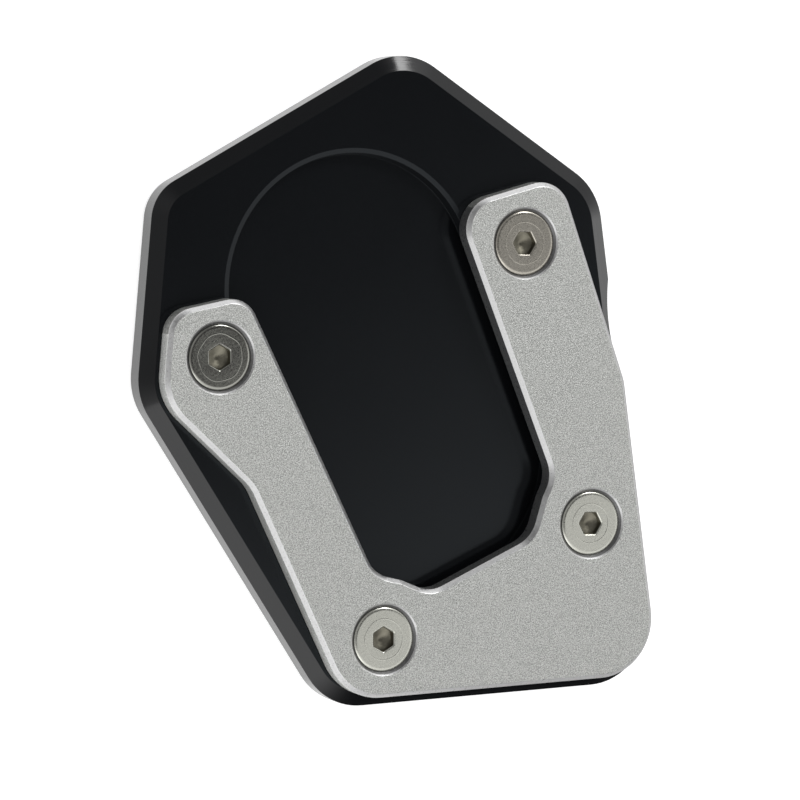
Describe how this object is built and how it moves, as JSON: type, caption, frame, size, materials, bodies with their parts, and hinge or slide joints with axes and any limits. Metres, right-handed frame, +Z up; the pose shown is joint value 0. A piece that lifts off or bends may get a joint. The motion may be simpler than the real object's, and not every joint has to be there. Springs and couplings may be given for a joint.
{
  "type": "kickstand foot enlarger",
  "caption": "Widened foot for a motorbike kickstand: bevelled black base plate with a round-ended pocket, forked silver clamp plate over it, held by countersunk hex socket screws.",
  "frame": {"origin": "on the ground face, under the centre of the foot pocket's front arc", "axes": "+Z up, away from the ground; +Y from the rear of the plate towards the open end of the fork, where the stand's leg leaves; +X to the right of that"},
  "size_m": [0.0953, 0.1234, 0.0096],
  "materials": {
    "black_anodised": "smooth black anodised, satin gloss",
    "silver_anodised": "fine blasted and clear anodised, matt",
    "stainless": "turned stainless steel"
  },
  "bodies": {
    "root": {"base_plate": "black_anodised", "clamp_plate": "silver_anodised", "left_front_screw": "stainless", "right_front_screw": "stainless", "left_rear_screw": "stainless", "right_rear_screw": "stainless"}
  },
  "joints": []
}
